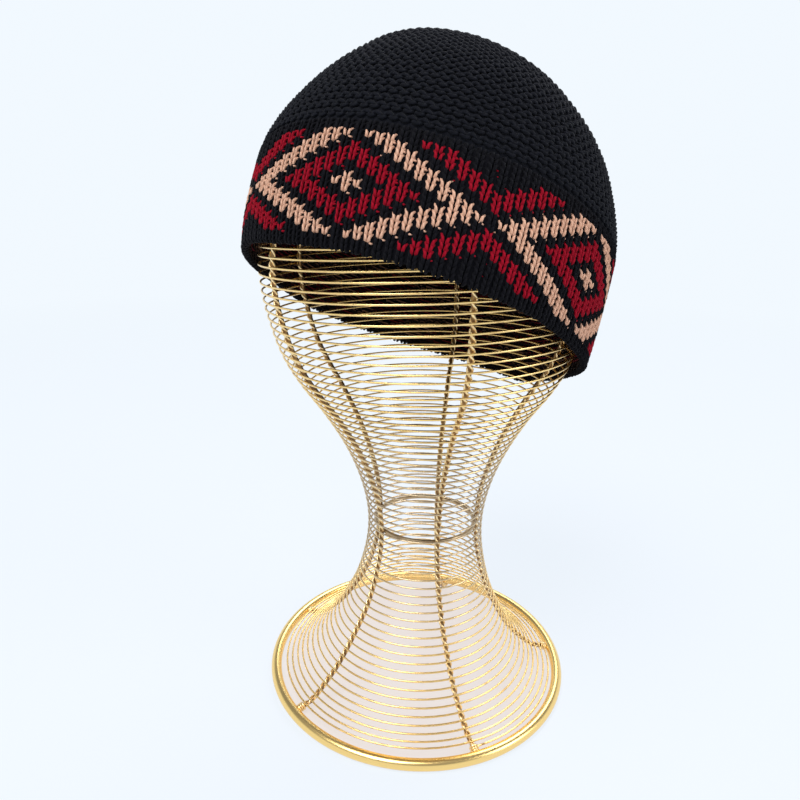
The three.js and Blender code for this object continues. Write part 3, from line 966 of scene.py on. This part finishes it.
def make_frame():
    shape = Shape()
    wire_ring(shape, BASE_RADIUS - BASE_WIRE / 2, BASE_WIRE / 2, BASE_WIRE, 0.0, sides=20, segments=160)
    shape.build("ring_foot", RING_GOLD, "polished_gold", ["stand_frame"])

    shape = Shape()
    neck_lean = float(np.interp(NECK_RING_HEIGHT, STAND.height, STAND.offset))
    wire_ring(shape, NECK_RING_RADIUS, NECK_RING_HEIGHT, NECK_RING_WIRE, neck_lean)
    top, _, lean = STAND_SECTIONS[-1]
    wire_ring(shape, TOP_RING_RADIUS, top + DOME_RISE, NECK_RING_WIRE, lean, segments=48)
    shape.build("neck_and_top_rings", NECK_GOLD, "polished_gold", ["stand_frame"])

    rods, lashing = Shape(), Shape()
    for rib in RIBS:
        rod = rib_path(rib)
        azimuth = rib_azimuth(rib, NECK_RING_HEIGHT)
        sideways = np.array([math.cos(azimuth), math.sin(azimuth), 0.0])
        rods.strands(rod[None], sideways, ROD_CORE / 2, ROD_CORE / 2, 8)
        paths, away = lashing_paths(rod, sideways)
        lashing.strands(paths, away, LASHING_WIRE / 2, LASHING_WIRE / 2, 6)
        turns, along = knot_paths(rod)
        lashing.strands(turns, along, LASHING_WIRE / 2, LASHING_WIRE / 2, 6, closed=True)
    rods.build("rib_rods", ROD_GOLD_PAINTED_SHADE, "polished_gold", ["stand_frame"])
    lashing.build("rib_lashing", LASHING_GOLD_PAINTED_HIGHLIGHT, "gold_wire", ["stand_winding"])


# The setting: camera, a pale floor that runs to the horizon, and soft lights.

PALE = rgb(0.885, 0.945, 1.0)
OVERHEAD = rgb(0.24, 0.262, 0.31)
# The darker, warmer floor colour inside the ring foot is a painted shadow with the gold's bounced colour in
# it.
FLOOR_PAINTED_SHADOW = rgb(0.725, 0.665, 0.63)
FLOOR_COOL = rgb(0.74, 0.80, 0.86)
FLOOR_SHADE = rgb(0.12, 0.117, 0.122)
UNLIT = rgb(0.0, 0.0, 0.0)
FLOOR_REACH = 60.0
FADE_START = 0.35
FADE_WIDTH = 1.2
PAINTED_SHADOW_INSET = 9.0
PAINTED_SHADOW_SOFTNESS = 8.0

# Lamps: name, place and aim in metres, width of the square, and power in watts.
LAMPS = [
    ("key_lamp", (-0.5, -0.7, 1.6), (0.0, 0.0, 0.2), 0.9, 22),
    ("side_lamp", (1.3, -0.4, 1.0), (0.0, 0.0, 0.2), 0.7, 8),
    ("back_lamp", (0.3, 1.1, 1.5), (0.0, 0.0, 0.25), 0.9, 13),
]


def make_camera():
    down, turn, roll = (math.radians(a) for a in (CAMERA_DOWN, CAMERA_TURN, CAMERA_ROLL))
    ahead = np.array([math.sin(turn) * math.cos(down), math.cos(turn) * math.cos(down), -math.sin(down)])
    level = np.array([math.cos(turn), -math.sin(turn), 0.0])
    below = np.cross(ahead, level)
    right = level * math.cos(roll) + below * math.sin(roll)
    under = -level * math.sin(roll) + below * math.cos(roll)
    camera = bpy.data.objects.new("camera", bpy.data.cameras.new("camera"))
    camera.data.lens = CAMERA_LENS
    camera.data.clip_start = 0.01
    place = (CAMERA_PLACE + STAND_AXIS) * MM
    columns = np.stack([right, -under, -ahead, place], 1)
    camera.matrix_world = Matrix([*columns.tolist(), [0, 0, 0, 1]])
    bpy.context.scene.collection.objects.link(camera)
    bpy.context.scene.camera = camera


def make_floor():
    """A floor that fades into the pale distance, with a painted warm shadow inside the ring foot."""
    reach = FLOOR_REACH
    mesh = bpy.data.meshes.new("floor")
    corners = [(-reach, -reach, 0), (reach, -reach, 0), (reach, reach, 0), (-reach, reach, 0)]
    mesh.from_pydata(corners, [], [(0, 1, 2, 3)])
    finish = Finish("pale_floor", Roughness=0.9, Emission_Strength=1.0)
    finish.shader.inputs["Specular IOR Level"].default_value = 0.0
    distance = finish.node("ShaderNodeVectorMath", {"operation": "LENGTH"}, {0: finish.place()}, 1)
    far = ((distance - FADE_START) / FADE_WIDTH).clamped()
    finish.feed("Base Color", finish.mix(far, FLOOR_SHADE, UNLIT))
    sides = {0: finish.place(), 1: STAND_AXIS * MM}
    from_stand = finish.node("ShaderNodeVectorMath", {"operation": "SUBTRACT"}, sides)
    beyond = finish.node("ShaderNodeVectorMath", {"operation": "LENGTH"}, {0: from_stand}, 1) / MM
    # Inside the ring foot the floor's glow is lowered and warmed: a painted shadow.
    outside = ((beyond - (BASE_RADIUS - PAINTED_SHADOW_INSET)) / PAINTED_SHADOW_SOFTNESS).clamped()
    near = finish.mix(outside, FLOOR_PAINTED_SHADOW, FLOOR_COOL)
    finish.feed("Emission Color", finish.mix(far, near, PALE))
    mesh.materials.append(finish.material)
    floor = bpy.data.objects.new("floor", mesh)
    bpy.context.scene.collection.objects.link(floor)


def make_world():
    """Pale all round up to above what the camera sees, and darker overhead, where the lamps are."""
    world = bpy.data.worlds.new("studio")
    sky = Nodes(world)
    place = sky.node("ShaderNodeTexCoord", {}, {}, "Generated")
    rise = sky.node("ShaderNodeSeparateXYZ", {}, {0: place}, 2)
    stops = [(0.34, PALE), (0.50, OVERHEAD)]
    colour = sky.node("ShaderNodeValToRGB", {"stops": stops}, {0: rise})
    background = sky.node("ShaderNodeBackground", {}, {"Color": colour})
    sky.node("ShaderNodeOutputWorld", {}, {0: background})
    bpy.context.scene.world = world


def make_lamp(name, place, aim, size, power):
    """A soft square lamp that faces its aim; places in metres."""
    lamp = bpy.data.lights.new(name, "AREA")
    lamp.size = size
    lamp.energy = power
    made = bpy.data.objects.new(name, lamp)
    direction = np.array(aim) - np.array(place)
    ahead = direction / np.linalg.norm(direction)
    side = np.cross(ahead, [0.0, 0.0, 1.0])
    side = side / np.linalg.norm(side)
    upward = np.cross(side, ahead)
    columns = np.stack([side, upward, -ahead, np.array(place)], 1)
    made.matrix_world = Matrix([*columns.tolist(), [0, 0, 0, 1]])
    bpy.context.scene.collection.objects.link(made)


def make_setting():
    make_camera()
    make_floor()
    make_world()
    for lamp in LAMPS:
        make_lamp(*lamp)
    bpy.context.scene.view_settings.view_transform = "Standard"


make_setting()
make_frame()
make_winding()
make_wall()
make_crown()
make_band()
make_band_inside()
